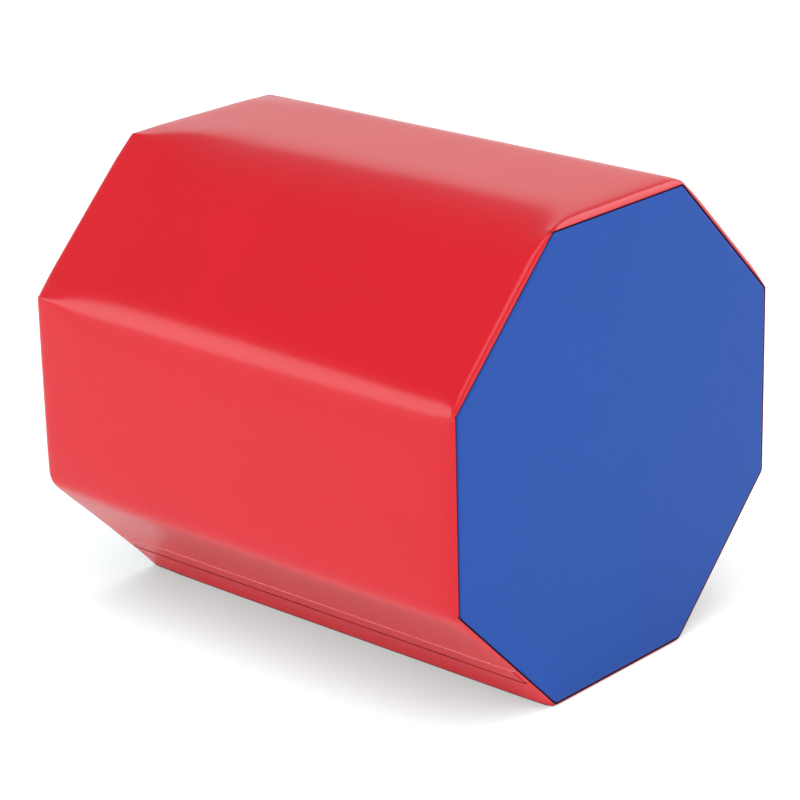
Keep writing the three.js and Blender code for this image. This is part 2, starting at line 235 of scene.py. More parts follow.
def shell(points, thickness, closed=False):
    """The points and faces of a sheet with that thickness, whose outer side is the grid given."""
    rows, columns = points.shape[:2]
    inner = points - grid_normals(points, closed) * thickness
    count = rows * columns
    faces = [grid_faces(rows, columns, closed), grid_faces(rows, columns, closed, count, flip=True)]
    row, column = np.arange(columns), np.arange(rows) * columns
    borders = [(row, closed, False), (row + (rows - 1) * columns, closed, True)]
    if not closed:
        borders += [(column, False, True), (column + columns - 1, False, False)]
    for ring, joined, flip in borders:
        start, end = (ring, np.roll(ring, -1)) if joined else (ring[:-1], ring[1:])
        strip = np.stack([start, start + count, end + count, end], axis=-1)
        faces.append(strip[:, ::-1] if flip else strip)
    return np.concatenate([points.reshape(-1, 3), inner.reshape(-1, 3)]), np.concatenate(faces)


def merged(parts):
    """Several (points, faces) as one."""
    points, faces, first = [], [], 0
    for p, f in parts:
        points.append(p)
        faces.append(f + first)
        first += len(p)
    return np.concatenate(points), np.concatenate(faces)


# ---------------------------------------------------------------- the octagon

SIDE = 2 * HALF_SIDE
AROUND = FACES * SIDE
FINE = 4096


def normal_of(angle):
    return np.stack([np.cos(angle), np.sin(angle)], axis=-1)


def tangent_of(angle):
    return np.stack([-np.sin(angle), np.cos(angle)], axis=-1)


def corner_at(k):
    """How far round the cloth corner k is, from the middle of face 0."""
    return (k + 0.5) * SIDE


def u_of(around):
    """The place up the zip's face from its lower edge. It goes below 0 on the bottom face."""
    return corner_at(ZIP_FACE) - around


def depth_of(y):
    return HALF_LENGTH - np.abs(y)


def crispness(y):
    """1 at the ends, where the seams draw the corners crisp, and 0 in the middle."""
    depth = depth_of(y)
    return np.where(y < 0, np.exp(-depth / FRONT_CRISP_DEPTH), bell(depth / REAR_CRISP_DEPTH))


def softness_at(k, y):
    """How softly corner k turns at each y."""
    at_front = FRONT_SOFTNESS.get(k, CRISP_SOFTNESS)
    at_rear = REAR_SOFTNESS.get(k, CRISP_SOFTNESS)
    at_end = np.where(y < 0, at_front, at_rear)
    return at_end + (MIDDLE_SOFTNESS[k] - at_end) * (1 - crispness(y))


def turned(around, softness):
    """The cloth's heading, in radians, where each corner turns it with that softness."""
    heading = np.zeros(np.broadcast(around, softness[0]).shape)
    for k in range(-2, FACES + 2):
        heading = heading + TURN * half_normal((around - corner_at(k)) / softness[k % FACES])
    return heading - 2 * TURN


def half_normal(x):
    """The normal distribution's cumulative curve."""
    return 0.5 * (1 + np.tanh(x * (0.7978846 + 0.0356774 * x * x)))


def closed_ring(y, softness):
    """The cross section at each y, as rows by fine places round it by 2, with its faces at the apothem."""
    around = np.arange(FINE) * AROUND / FINE
    middle = around + AROUND / FINE / 2
    heading = turned(middle[None, :], [s[:, None] + 0 * middle for s in softness])
    steps = tangent_of(heading) * (AROUND / FINE)
    steps -= steps.mean(axis=1, keepdims=True)
    points = np.concatenate([np.zeros((len(y), 1, 2)), np.cumsum(steps, axis=1)[:, :-1]], axis=1)
    points -= points.mean(axis=1, keepdims=True)
    middles = (np.arange(FACES) * FINE) // FACES
    return points * (APOTHEM / np.linalg.norm(points[:, middles], axis=2).mean(axis=1))[:, None, None]


def zip_band(around, start, rise, end, fall):
    """1 round the zip: it rises above u = start and falls off above u = end, over those lengths."""
    u = u_of(np.mod(around, AROUND))
    return smooth_step((u - start) / rise) * (1 - smooth_step((u - end) / fall))


def zip_flatness(around):
    """1 where the zip holds its face flat, and 0 away from it."""
    return zip_band(around, -95 * MM, 85 * MM, 122 * MM, 115 * MM)


def held_down(around):
    """1 where the zip keeps the cover from swelling, and 0 away from it."""
    return zip_band(around, -20 * MM, 70 * MM, 122 * MM, 210 * MM)


def ring_points(around, y):
    """The cover's own shape, without its relief, as rows (y) by places round it by 2."""
    y = np.atleast_1d(y)
    soft = closed_ring(y, [softness_at(k, y) for k in range(FACES)])
    held = [np.minimum(softness_at(k, y), ZIP_SOFTNESS) for k in range(FACES)]
    firm = closed_ring(y, held)
    place_in_ring = np.mod(around, AROUND) / AROUND * FINE
    low = np.floor(place_in_ring).astype(int)
    share = (place_in_ring - low)[None, :, None]
    pick = lambda ring: ring[:, low % FINE] * (1 - share) + ring[:, (low + 1) % FINE] * share
    flat = zip_flatness(around)[None, :, None]
    return pick(soft) * (1 - flat) + pick(firm) * flat


def place(around, y, height):
    """Points of the cover, with that height above its faces, as rows (y) by places round it by 3."""
    y = np.atleast_1d(y)
    ring = ring_points(around, y)
    height = np.broadcast_to(height, ring.shape[:2])[:, :, None]
    ring = ring * (1 + height / APOTHEM)
    return np.stack([ring[:, :, 0], y[:, None] + 0 * ring[:, :, 0], ring[:, :, 1] + APOTHEM], axis=-1)


def spaced(count, crowding=0.93):
    """Numbers from 0 to 1, closer together at both ends."""
    even = np.linspace(0, 1, count)
    return (1 - crowding) * even + crowding * (1 - np.cos(np.pi * even)) / 2


def columns_between(first, last, count):
    """Places round the cloth from first to last, crowded at every corner between them."""
    corners = [corner_at(k) for k in range(-FACES, 2 * FACES)]
    stops = [first] + [corner for corner in corners if first < corner < last] + [last]
    pieces = []
    for start, end in zip(stops[:-1], stops[1:]):
        share = max(8, int(count * (end - start) / SIDE))
        pieces.append(start + (end - start) * spaced(share)[:-1])
    return np.concatenate(pieces + [[last]])


def zip_place(u, height, y):
    """Points on the zip's face, as rows (y) by columns (u, height) by 3."""
    angle = ZIP_FACE * TURN
    u, height, y = np.broadcast_arrays(u, height, y)
    flat = (APOTHEM + height)[..., None] * normal_of(angle) + (HALF_SIDE - u)[..., None] * tangent_of(angle)
    return np.stack([flat[..., 0], y, APOTHEM + flat[..., 1]], axis=-1)


# ---------------------------------------------------------------- cloth simulation

CLOTH_ROWS, CLOTH_COLUMNS = 33, 112
CLOTH_FRAMES = 20
CLOTH_START = -3 * MM
CLOTH_PRESSURE = 0.3
CLOTH_LIMIT = 60 * MM
CORNER_HOLD = 0.5  # how firmly the foam's edges hold the cover, where the seams hold it by 1


def cloth_grid():
    """The cover as a coarse tube, and how firmly the seams, the zip and the foam's edges hold its points."""
    y = np.linspace(-HALF_LENGTH, HALF_LENGTH, CLOTH_ROWS)
    around = np.arange(CLOTH_COLUMNS) * AROUND / CLOTH_COLUMNS
    beside = np.abs(np.mod(around / SIDE, 1) - 0.5) * SIDE
    held = np.where(beside < AROUND / CLOTH_COLUMNS * 0.6, CORNER_HOLD, 0)
    held = np.where(zip_flatness(around) > 0.6, 1, held) + np.zeros((CLOTH_ROWS, 1))
    held[[0, -1]] = 1
    return place(around, y, CLOTH_START), held


def simulate_cover():
    """Blows the coarse cover up. Returns how far each point moved outwards, from 0 to 1."""
    start, held = cloth_grid()
    tube = new_object("cloth_tube", start, grid_faces(CLOTH_ROWS, CLOTH_COLUMNS, True).tolist())
    group = tube.vertex_groups.new(name="held")
    for weight in np.unique(held[held > 0]):
        group.add(np.flatnonzero(held.ravel() == weight).tolist(), weight, "REPLACE")
    cloth = tube.modifiers.new("cloth", "CLOTH")
    cloth.settings.quality = 6
    cloth.settings.vertex_group_mass = "held"
    cloth.settings.use_pressure = True
    cloth.settings.uniform_pressure_force = CLOTH_PRESSURE
    cloth.settings.effector_weights.gravity = 0
    cloth.collision_settings.use_collision = False
    scene = bpy.context.scene
    for step in range(1, CLOTH_FRAMES + 1):
        scene.frame_set(step)
    shown = tube.evaluated_get(bpy.context.evaluated_depsgraph_get()).to_mesh()
    end = np.empty(start.size)
    shown.vertices.foreach_get("co", end)
    moved = np.einsum("ijk,ijk->ij", end.reshape(start.shape) - start, grid_normals(start, True))
    scene.frame_set(1)
    bpy.data.objects.remove(tube)
    moved = np.clip(moved, 0, CLOTH_LIMIT)
    return moved / max(moved.max(), 1 * MM)


def spline_weights(at, count, closed):
    """For a cubic B-spline with that many points: the four nearest points and their weights."""
    first = np.floor(at).astype(int)
    t = at - first
    weights = np.stack([(1 - t) ** 3, 3 * t**3 - 6 * t**2 + 4, -3 * t**3 + 3 * t**2 + 3 * t + 1, t**3]) / 6
    index = first + np.arange(-1, 3)[:, None]
    return (index % count if closed else np.clip(index, 0, count - 1)), weights


def sampled(field, around, y):
    """A field on the coarse cover, read smoothly at rows (y) by places round it."""
    rows, row_weights = spline_weights((y / HALF_LENGTH + 1) / 2 * (CLOTH_ROWS - 1), CLOTH_ROWS, False)
    turns = np.mod(around, AROUND) / AROUND
    columns, column_weights = spline_weights(turns * CLOTH_COLUMNS, CLOTH_COLUMNS, True)
    part = np.einsum("ri,rij->ij", row_weights, field[rows])
    return np.einsum("ck,jck->jk", column_weights, part[:, columns])


def crown_shape():
    """How the stuffed cover rises between its seams, as a field on the coarse cover, from 0 to 1."""
    return simulate_cover()
    y = np.linspace(-1, 1, CLOTH_ROWS)[:, None]
    around = np.arange(CLOTH_COLUMNS) * AROUND / CLOTH_COLUMNS
    across = np.mod(around / SIDE + 0.5, 1) * 2 - 1
    return (1 - across**2) ** 2 * (1 - y**8) * (1 - zip_flatness(around))


# ---------------------------------------------------------------- shape of the cover

def rim_height(depth, swollen=1.0):
    """The cover's height at this depth from its end seam. It stays lower where it isn't swollen."""
    rolled = LIP_RISE * (1 - np.exp(-depth / LIP_DEPTH)) + SWELL_RISE * (1 - np.exp(-depth / SWELL_DEPTH))
    full = LIP_RISE + SWELL_RISE
    return SEAM_HEIGHT + rolled / full * (-SEAM_HEIGHT + (full + SEAM_HEIGHT) * swollen)


def end_depths():
    """Depths of the rows near an end, from the seam inwards."""
    lip = 8.5 * MM * np.linspace(0, 1, 15) ** 1.4
    near = np.arange(1, 14) * 1.5 * MM + lip[-1]
    away = near[-1] + 1.9 * MM * (1.14 ** np.arange(1, 16) - 1) / 0.14
    return np.unique(np.concatenate([lip, near, away, [FLAP_END_DEPTH]]))


def row_ys():
    """The y of each row of the cover's outer side, with closer rows near both seams."""
    near = end_depths()
    middle_half = HALF_LENGTH - near[-1]
    steps = max(2, int(2 * middle_half / (11 * MM)))
    middle = np.linspace(-middle_half, middle_half, steps + 1)[1:-1]
    return np.concatenate([near - HALF_LENGTH, middle, (HALF_LENGTH - near)[::-1]])


def ripple(a, b, seed, size):
    """A smooth, uneven surface between about -1 and 1, made of a few crossing waves."""
    source = np.random.default_rng(seed)
    total = np.zeros(np.broadcast(a, b).shape)
    for _ in range(7):
        heading = source.uniform(0, math.pi)
        wave = 2 * math.pi / (size * source.uniform(0.7, 1.6))
        phase = source.uniform(0, 2 * math.pi)
        total += np.sin(wave * (a * math.cos(heading) + b * math.sin(heading)) + phase)
    return total / 4


# Creases that run out from a corner beside the end seam: angle from the seam, length, width, depth.
CREASES = (
    (9, 26 * MM, 1.1 * MM, 0.55 * MM),
    (24, 20 * MM, 1.3 * MM, 0.45 * MM),
    (47, 17 * MM, 1.6 * MM, 0.35 * MM),
)


def crease_height(beside, depth, seed):
    """The creases on one side of a corner. beside is the distance from the corner along the seam."""
    source = np.random.default_rng(seed)
    total = np.zeros(beside.shape)
    for angle, length, width, fold in CREASES:
        heading = math.radians(angle + source.uniform(-4, 4))
        length = length * source.uniform(0.6, 1.25)
        start = 1.5 * MM
        along = beside * math.cos(heading) + (depth - start) * math.sin(heading)
        off = (depth - start) * math.cos(heading) - beside * math.sin(heading)
        fade = smooth_step(along / (2 * MM)) * (1 - smooth_step(along / length))
        spread = width * (1 + along / length)
        ridge = 0.55 * bell((off - 1.9 * spread) / spread)
        total += fold * fade * (ridge - bell(off / spread))
    return total


def corner_dent(beside, depth):
    """The cover is drawn in where a corner meets the end seam."""
    return -0.5 * MM * np.exp(-((beside / (3.5 * MM)) ** 2) - (depth / (7 * MM)) ** 2)


def cover_relief(around, y, crown):
    """What the cover's surface does besides following the octagon, as rows by columns of heights."""
    risen = sampled(crown, around, y)
    around, depth, y = around[None, :], depth_of(y)[:, None], y[:, None]
    across = np.mod(around / SIDE + 0.5, 1) * 2 - 1
    away = 1 - bell(depth / (60 * MM))
    loose = 1 - zip_flatness(around)
    beside = (1 - np.abs(across)) * HALF_SIDE
    drawn_in = CORNER_DRAW * crispness(y) * bell(beside / CORNER_REACH)
    tight = bell(beside / (22 * MM)) + 0 * y
    for face in TIGHT_FACES:
        tight = np.where(np.abs(np.mod(around, AROUND) - face * SIDE) < HALF_SIDE, 1, tight)
    swollen = 1 - held_down(around)
    height = rim_height(depth / (1 - LIP_TIGHTENING * tight * swollen), swollen * (1 - drawn_in))
    height = height + CROWN * risen * away * loose
    height += 0.12 * MM * ripple(around, y, 11, 0.17) * away
    height += 0.07 * MM * ripple(around, y, 12, 0.05) * bell(depth / (40 * MM))
    for end in (-1, 1):
        for k in range(FACES):
            beside = np.mod(around - corner_at(k) + AROUND / 2, AROUND) - AROUND / 2
            height += np.where(y * end > 0, corner_dent(beside, depth), 0)
            for side in (-1, 1):
                chosen = (y * end > 0) & (beside * side >= 0) & (beside * side < 40 * MM)
                seed = 100 + 40 * end + 2 * k + (side > 0)
                height += np.where(chosen, crease_height(beside * side + 0 * y, depth + 0 * around, seed), 0)
    return height


def seam_turn():
    """(depth, height) where the cover turns in at its seam, from the hidden allowance out to the rim."""
    return np.array([
        (ALLOWANCE, FOLD_HEIGHT),
        (3 * MM, FOLD_HEIGHT),
        (1.4 * MM, SEAM_HEIGHT - 0.8 * MM),
        (0.6 * MM, SEAM_HEIGHT - 0.68 * MM),
        (0.15 * MM, SEAM_HEIGHT - 0.38 * MM),
    ])


def with_turns(around, y, height):
    """Points of the cover's outer side, with its seam allowance turned in at each end that y reaches."""
    turn = seam_turn()
    turn_y, turn_height = turn[:, 0] - HALF_LENGTH, turn[:, 1][:, None]
    edge = np.full(len(turn), -HALF_LENGTH)
    blocks = []
    if y[0] <= -HALF_LENGTH + 1e-9:
        block = place(around, edge, turn_height)
        block[:, :, 1] = turn_y[:, None]
        blocks.append(block)
    blocks.append(place(around, y, height))
    if y[-1] >= HALF_LENGTH - 1e-9:
        block = place(around, -edge, turn_height[::-1])
        block[:, :, 1] = -turn_y[::-1, None]
        blocks.append(block)
    points = np.concatenate(blocks)
    points[:, :, 2] = np.maximum(points[:, :, 2], 0)
    return points


def topstitch_valley(away):
    """The vinyl is pulled down along a row of stitches."""
    return -0.45 * MM * bell(away / (0.9 * MM))


def lower_edge_turn(u):
    """The lower panel rounds down into the gap below the flap."""
    near = np.clip((u - LOWER_EDGE_U + 2.2 * MM) / (2.2 * MM), 0, 1)
    return -1.5 * MM * (1 - np.sqrt(1 - 0.96 * near**2))


def cover_attributes(obj):
    """For the materials: how near an end seam and the topstitching are, the place round the mat, and where
    the seam's groove gets painted shade.
    """
    co = coordinates(obj.data)
    add_attribute(obj, "seam_near", bell(depth_of(co[:, 1]) / (4.5 * MM)))
    angle = np.mod(np.arctan2(co[:, 2] - APOTHEM, co[:, 0]), 2 * math.pi)
    face = np.round(angle / TURN)
    around = face * SIDE + APOTHEM * np.tan(angle - face * TURN)
    add_attribute(obj, "around", around)
    reach = np.hypot(co[:, 2] - APOTHEM, co[:, 0]) * np.cos(angle - face * TURN) - APOTHEM
    # Painted shade: the cover is darkened where it turns in at an end seam, standing in for the groove's
    # shadow.
    groove_shade = smooth_step((SEAM_HEIGHT + 0.2 * MM - reach) / (0.45 * MM))
    add_attribute(obj, "seam_painted_shade", groove_shade * (depth_of(co[:, 1]) < 4 * MM))
    u = u_of(around)
    add_attribute(obj, "stitch_near", bell((u - TOPSTITCH_U) / (1.7 * MM)))


def make_wrap(material):
    y = row_ys()
    lowest, highest = corner_at(ZIP_FACE) - LOWER_EDGE_U, corner_at(ZIP_FACE) - TOPSTITCH_U + AROUND
    around = columns_between(lowest, highest, 66)[::-1]
    u = u_of(around) + np.where(around > AROUND, AROUND, 0)
    near_edge = np.where(around < lowest + 10 * MM, lower_edge_turn(u_of(around)), 0)
    height = cover_relief(around, y, crown_shape()) + near_edge + topstitch_valley(u - TOPSTITCH_U)
    parts = [shell(with_turns(around, y, height), SHEET)]
    bridge = corner_at(ZIP_FACE) - np.linspace(LOWER_EDGE_U, TOPSTITCH_U, 60)
    bridge_u = u_of(bridge)
    for end in (-1, 1):
        end_y = y[(y * end > 0) & (depth_of(y) <= FLAP_END_DEPTH + 1e-9)]
        layered = smooth_step((depth_of(end_y)[:, None] - 1.5 * MM) / (7 * MM))
        step = -1.5 * MM * smooth_step((FLAP_EDGE_U - bridge_u) / (1.2 * MM))
        step = step * (1 - smooth_step((FLAP_EDGE_U - 1 * MM - bridge_u) / (6 * MM)))
        height = rim_height(depth_of(end_y)[:, None], 0) + step * layered
        height = height + topstitch_valley(bridge_u - TOPSTITCH_U)
        parts.append(shell(with_turns(bridge[::-1], end_y, height[:, ::-1])[:, ::-1], SHEET))
    wrap = new_object("red_wrap", *merged(parts))
    cover_attributes(wrap)
    finish_piece(wrap, material, "mat", "wrap_panel")


def binding_profile():
    """(u, height) of the lower panel's bound edge, which passes under the flap and folds back."""
    dip = np.linspace(0, 1, 12)
    fold = np.linspace(math.pi / 2, -math.pi / 2, 9)
    radius = 0.9 * MM
    start_u, start_height = LOWER_EDGE_U - 4 * MM, -1.25 * MM
    us = np.concatenate([
        [start_u],
        LOWER_EDGE_U - 0.5 * MM + dip * 5 * MM,
        np.linspace(LOWER_EDGE_U + 6 * MM, BINDING_FOLD_U - radius - 1 * MM, 10),
        BINDING_FOLD_U - radius + radius * np.cos(fold),
        np.linspace(BINDING_FOLD_U - 2 * MM, BINDING_FOLD_U - 8 * MM, 4),
    ])
    heights = np.concatenate([
        [start_height],
        start_height + (BINDING_HEIGHT - start_height) * smooth_step(dip),
        np.full(10, BINDING_HEIGHT),
        BINDING_HEIGHT - radius + radius * np.sin(fold),
        np.full(4, BINDING_HEIGHT - 2 * radius),
    ])
    return us, heights


def make_binding(material):
    """The woven binding of the lower panel's edge, which carries the lower zip tape. Its very dark colour
    also paints in the shade of the gap under the flap.
    """
    y = row_ys()
    y = y[depth_of(y) >= FLAP_END_DEPTH - 1e-9][:, None]
    us, heights = binding_profile()
    stitched = bell((us - HEM_STITCH_U) / (0.8 * MM)) * (us > LOWER_EDGE_U)
    heights = heights + rim_height(depth_of(y), 0) - 0.2 * MM * stitched
    points, faces = shell(zip_place(us, heights, y)[:, ::-1], 0.8 * MM)
    binding = new_object("zip_edge_binding", points, faces)
    add_attribute(binding, "across", np.tile(us[::-1], 2 * len(y)))
    finish_piece(binding, material, "mat", "wrap_panel")


def finish_piece(obj, material, body, node):
    obj.data.materials.append(material)
    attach(obj, body)
    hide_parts(node)


def make_flap(material):
    """The flap over the zip: the wrap's own sheet, folded back on itself, held by the topstitching."""
    radius = 1.0 * MM
    hem_u = 112 * MM
    fold = np.linspace(math.pi / 2, 3 * math.pi / 2, 11)
    top = TOPSTITCH_U - (TOPSTITCH_U - FLAP_EDGE_U - radius) * spaced(34, 0.9)
    under = np.linspace(FLAP_EDGE_U + radius + 1 * MM, hem_u, 26)
    us = np.concatenate([top, FLAP_EDGE_U + radius + radius * np.cos(fold[1:]), under])
    heights = np.concatenate([topstitch_valley(top - TOPSTITCH_U), -radius + radius * np.sin(fold[1:]),
                              np.full(len(under), -2 * radius)])
    free = smooth_step((TOPSTITCH_U - us) / (TOPSTITCH_U - FLAP_EDGE_U))
    y = row_ys()
    y = y[depth_of(y) > FLAP_END_DEPTH + 1e-9]
    ends = (HALF_LENGTH - FLAP_END_DEPTH - 0.25 * MM) * np.array([-1.0, 1.0])
    y = np.concatenate([ends[:1], y, ends[1:]])[:, None]
    settle = 1 - bell((depth_of(y) - FLAP_END_DEPTH) / (25 * MM))
    wave_u = 0.35 * MM * ripple(y, 0 * y, 21, 0.2) * settle
    wave_h = 0.14 * MM * ripple(y, 0 * y + 0.3, 22, 0.09) * settle
    heights = heights + rim_height(depth_of(y), 0) + free * wave_h
    points, faces = shell(zip_place(us + free * wave_u, heights, y), 0.8 * MM)
    flap = new_object("zip_cover_flap", points, faces)
    cover_attributes(flap)
    flap.data.materials.append(material)
    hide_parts("zip_flap")
    start, end = (zip_place(u * MM, 0.0, 0.0) for u in (107.2, 104.4))
    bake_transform(flap)


# ---------------------------------------------------------------- end panels

def panel_profile():
    """(depth, height) of an end panel's outer side, from its hidden allowance out to the flat face."""
    outside = FOLD_HEIGHT - GROOVE
    return np.array([
        (ALLOWANCE, outside),
        (2.6 * MM, outside),
        (1.7 * MM, outside - 0.04 * MM),
        (1.1 * MM, outside - 0.14 * MM),
        (0.7 * MM, outside - 0.32 * MM),
        (0.42 * MM, outside - 0.62 * MM),
        (0.25 * MM, outside - 1.1 * MM),
        (0.16 * MM, outside - 2.0 * MM),
        (0.1 * MM, outside - 4.0 * MM),
    ])


def make_end_panel(name, end, material, node):
    around = columns_between(0.0, AROUND, 44)[:-1]
    edge_y = np.array([end * HALF_LENGTH])
    rows = []
    for depth, height in panel_profile():
        ring = place(around, edge_y, height)
        ring[:, :, 1] = end * (HALF_LENGTH - depth)
        rows.append(ring[0])
    edge = rows[-1]
    flat_depth = HALF_LENGTH - abs(edge[0, 1])
    shares = np.concatenate([[0.988, 0.972, 0.95, 0.92], np.linspace(0.88, 0.02, 24)])
    for share in shares:
        ring = CENTRE + (edge - CENTRE) * share
        bulge = PANEL_CROWN * (1 - share**2)
        swell = 0.14 * MM * ripple(ring[:, 0], ring[:, 2], 31 + end, 0.17) * smooth_step((1 - share) / 0.1)
        ring[:, 1] = end * (HALF_LENGTH - flat_depth + bulge + swell)
        rows.append(ring)
    points = np.stack(rows)
    if end < 0:
        points = points[::-1]
    panel = new_object(name, *shell(points, SHEET, closed=True))
    close_middle(panel, points.shape[:2], 0 if end < 0 else len(points) - 1)
    co = coordinates(panel.data)
    angle = np.mod(np.arctan2(co[:, 2] - APOTHEM, co[:, 0]) + TURN / 2, TURN) - TURN / 2
    reach = np.hypot(co[:, 2] - APOTHEM, co[:, 0]) * np.cos(angle)
    add_attribute(panel, "seam_near", bell((APOTHEM - reach - 6 * MM) / (4.5 * MM)))
    add_attribute(panel, "around", APOTHEM * np.tan(angle))
    # Painted shade: the panel is darkened where it turns in at the seam, standing in for the groove's shadow.
    add_attribute(panel, "seam_painted_shade", smooth_step((depth_of(co[:, 1]) - 0.12 * MM) / (0.14 * MM)))
    add_attribute(panel, "stitch_near", 0 * reach)
    finish_piece(panel, material, "mat", node)


def close_middle(panel, size, row):
    """Closes the small hole that the innermost rings leave, on both sides of the sheet."""
    rows, columns = size
    count = rows * columns
    bm = bmesh.new()
    bm.from_mesh(panel.data)
    bm.verts.ensure_lookup_table()
    inner_row = range(row * columns, (row + 1) * columns)
    rim = {bm.verts[i + side] for side in (0, count) for i in inner_row}
    bmesh.ops.delete(bm, geom=[f for f in bm.faces if all(v in rim for v in f.verts)], context="FACES_ONLY")
    rings = [[bm.verts[i + side] for i in inner_row] for side in (0, count)]
    for ring in rings:
        middle = bm.verts.new(sum((v.co for v in ring), Vector()) / columns)
        for here, there in zip(ring, ring[1:] + ring[:1]):
            bm.faces.new((here, there, middle)).smooth = True
    bmesh.ops.recalc_face_normals(bm, faces=bm.faces)
    bm.to_mesh(panel.data)
    bm.free()


# ---------------------------------------------------------------- stitches

def stitches(name, centres, along, outward, length, radius, arch):
    """Separate stitches as one mesh: each is a short arched length of thread with rounded ends."""
    sections, sides = 7, 6
    x = np.linspace(-1, 1, sections)
    swell = np.sqrt(np.clip(1 - (np.abs(x) ** 4), 0.05, 1))
    turn = np.linspace(0, 2 * math.pi, sides, endpoint=False)
    side = np.cross(along, outward)
    points = []
    for k in range(sections):
        middle = centres + along * (x[k] * length / 2) + outward * (arch * (1 - x[k] ** 2) - 0.35 * arch)
        for a in turn:
            points.append(middle + radius * swell[k] * (math.cos(a) * side + math.sin(a) * outward))
    points = np.stack(points, axis=1)
    base = grid_faces(sections, sides, True, flip=True)
    count = sections * sides
    faces = []
    for n in range(len(centres)):
        faces.extend((base + n * count).tolist())
        faces.append([n * count + i for i in range(sides)])
        faces.append([n * count + count - 1 - i for i in range(sides)])
    return new_object(name, points, faces)


def stitch_row(name, u, height, end_depth, length, radius, arch, pitch):
    count = int(2 * (HALF_LENGTH - end_depth) / pitch)
    y = (np.arange(count) - (count - 1) / 2) * pitch
    centres = zip_place(u, height + rim_height(depth_of(y), 0), y)
    slope = np.gradient(rim_height(depth_of(y), 0), y)
    normal = np.array([math.cos(ZIP_FACE * TURN), 0, math.sin(ZIP_FACE * TURN)])
    along = unit(np.array([0, 1, 0]) + slope[:, None] * normal)
    outward = np.broadcast_to(normal, along.shape)
    return stitches(name, centres, along, outward, length, radius, arch)


def seam_stitches(name, end, material, node):
    """The thread that shows across the bottom of an end seam's groove."""
    around = columns_between(0.0, AROUND, 60)
    depth, height = 3.6 * MM, FOLD_HEIGHT - GROOVE / 2
    ring = place(around, np.array([end * HALF_LENGTH]), height)[0]
    ring[:, 1] = end * (HALF_LENGTH - depth)
    length = lengths_along(ring)
    count = int(length[-1] / SEAM_PITCH)
    at = (np.arange(count) + 0.5) * length[-1] / count
    point_at = lambda at: np.stack([np.interp(at, length, ring[:, i]) for i in range(3)], axis=1)
    centres = point_at(at)
    ahead = unit(point_at(at + 0.2 * MM) - centres)
    outward = np.broadcast_to(np.array([0.0, end, 0.0]), ahead.shape)
    along = np.cross(outward, ahead)
    row = stitches(name, centres, along, outward, 1.9 * MM, 0.27 * MM, 0.1 * MM)
    finish_piece(row, material, "mat", node)


# ---------------------------------------------------------------- zip

def make_tape(name, path, material, node):
    """A woven tape that follows (u, height) points across the zip."""
    path = np.array(path) * MM
    length = lengths_along(path)
    at = np.linspace(0, length[-1], 26)
    u, height = (np.interp(at, length, path[:, i]) for i in range(2))
    for _ in range(2):
        u[1:-1] = (u[:-2] + 2 * u[1:-1] + u[2:]) / 4
        height[1:-1] = (height[:-2] + 2 * height[1:-1] + height[2:]) / 4
    y = np.linspace(-TAPE_HALF_LENGTH, TAPE_HALF_LENGTH, 120)[:, None]
    height = height + 0.08 * MM * ripple(y, u + 0 * y, 41, 0.06)
    tape = new_object(name, *shell(zip_place(u + 0 * y, height, y), 0.5 * MM))
    add_attribute(tape, "across", np.tile(at, 2 * len(y)))
    finish_piece(tape, material, "mat", node)


def make_coil(name, side, material, node):
    """One half of the chain: a nylon monofilament wound in a flattened helix."""
    low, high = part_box(node)
    pitch = 1.35 * MM
    steps, sides, wire = 10, 5, 0.28 * MM
    half_width, half_height = 1.3 * MM - wire, 1.1 * MM - wire
    turns = int((high.y - low.y) / pitch)
    angle = np.arange(turns * steps) * 2 * math.pi / steps
    squared = lambda wave: np.sign(wave) * np.abs(wave) ** 0.7
    u = CHAIN_U + side * 1.85 * MM + half_width * squared(np.cos(angle))
    height = CHAIN_HEIGHT + half_height * squared(np.sin(angle))
    y = low.y + (0.5 + angle / (2 * math.pi)) * (high.y - low.y - pitch) / turns
    line = zip_place(u, height, y)
    forward = unit(np.gradient(line, axis=0))
    first = unit(np.cross(forward, [0, 1, 0]))
    second = np.cross(forward, first)
    turn = np.linspace(0, 2 * math.pi, sides, endpoint=False)
    points = line[:, None] + wire * (np.cos(turn)[None, :, None] * first[:, None]
                                     + np.sin(turn)[None, :, None] * second[:, None])
    faces = grid_faces(len(line), sides, True, flip=True).tolist()
    last = (len(line) - 1) * sides
    faces += [list(range(sides)), [last + sides - 1 - i for i in range(sides)]]
    coil = new_object(name, points, faces)
    finish_piece(coil, material, "mat", node)


def bevelled(node, material, width):
    """Keeps a CAD part, with its edges rounded off and a better material."""
    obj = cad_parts[node]
    add_bevel(obj, width, 3)
    obj.data.materials.clear()
    obj.data.materials.append(material)


def make_foam(node, material):
    """A foam plank, a little smaller than its CAD solid so that it stays inside the soft cover."""
    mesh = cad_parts[node].data.copy()
    mesh.vertices.foreach_set("co", (CENTRE + (coordinates(mesh) - CENTRE) * FOAM_SCALE).ravel())
    mesh.update()
    plank = in_scene(node.replace("plank", "layer"), mesh)
    mesh.materials.clear()
    add_bevel(plank, 2.5 * MM, 2)
    finish_piece(plank, material, "mat", node)


# ---------------------------------------------------------------- materials

